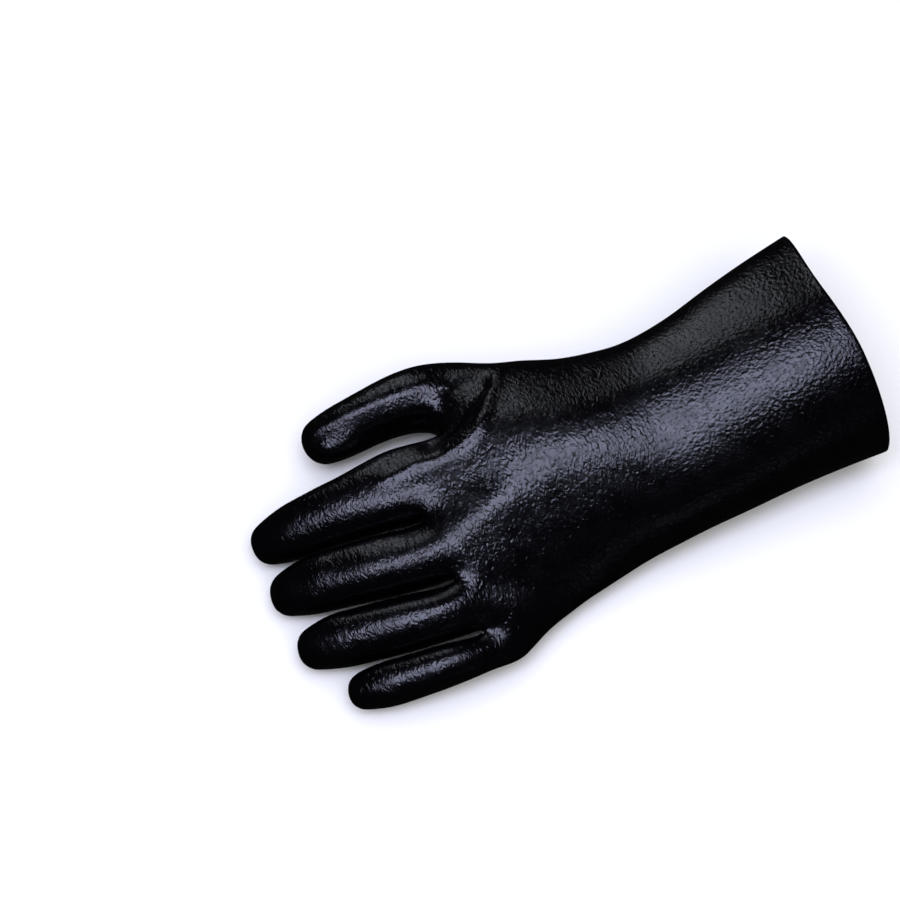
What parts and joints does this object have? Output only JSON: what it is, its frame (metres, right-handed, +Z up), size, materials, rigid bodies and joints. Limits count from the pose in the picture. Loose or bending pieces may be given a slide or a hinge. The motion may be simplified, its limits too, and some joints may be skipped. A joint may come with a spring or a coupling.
{
  "type": "pvc coated work glove",
  "caption": "Left-hand work glove with a smooth gauntlet cuff, one hollow wall lying palm down, fingers and thumb slightly curled, with a grained black coating.",
  "frame": {"origin": "middle of the footprint, on the surface that the glove lies on", "axes": "+X from the fingertips to the open cuff, +Y to the thumb side, +Z up through the back of the hand"},
  "size_m": [0.3028, 0.1584, 0.0719],
  "materials": {
    "pvc_coating": "gloss"
  },
  "bodies": {
    "root": {"pvc_coated_shell": "pvc_coating"}
  },
  "joints": []
}
